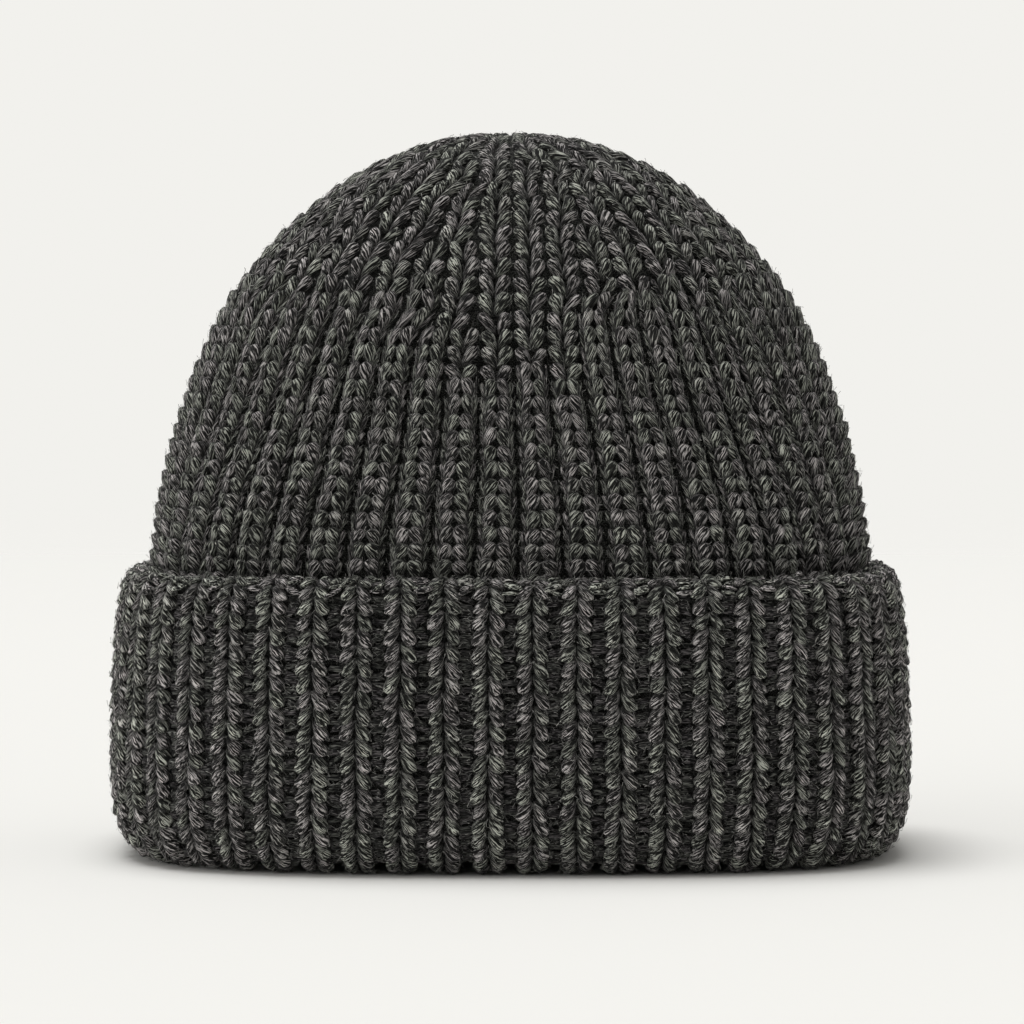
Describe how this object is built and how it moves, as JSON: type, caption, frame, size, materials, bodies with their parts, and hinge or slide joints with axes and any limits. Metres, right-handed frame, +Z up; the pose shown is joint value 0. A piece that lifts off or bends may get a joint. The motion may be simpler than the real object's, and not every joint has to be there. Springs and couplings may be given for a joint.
{
  "type": "ribbed beanie",
  "caption": "Chunky rib-knit wool beanie with a deep turned-up cuff, a domed crown and ribs knitted together towards a gathered tip.",
  "frame": {"origin": "on the ground under the middle of the hat, at the flat of the cuff's fold", "axes": "+X across the front, +Y from the front to the back, +Z up towards the gathered tip"},
  "size_m": [0.21, 0.16, 0.188],
  "materials": {
    "crown_knit": "marled charcoal wool yarn in a deep rib knit, matt with pale fibres",
    "cuff_knit": "marled charcoal wool yarn in a deep rib knit, matt with pale fibres"
  },
  "bodies": {
    "root": {"crown": "crown_knit", "cuff": "cuff_knit"}
  },
  "joints": []
}
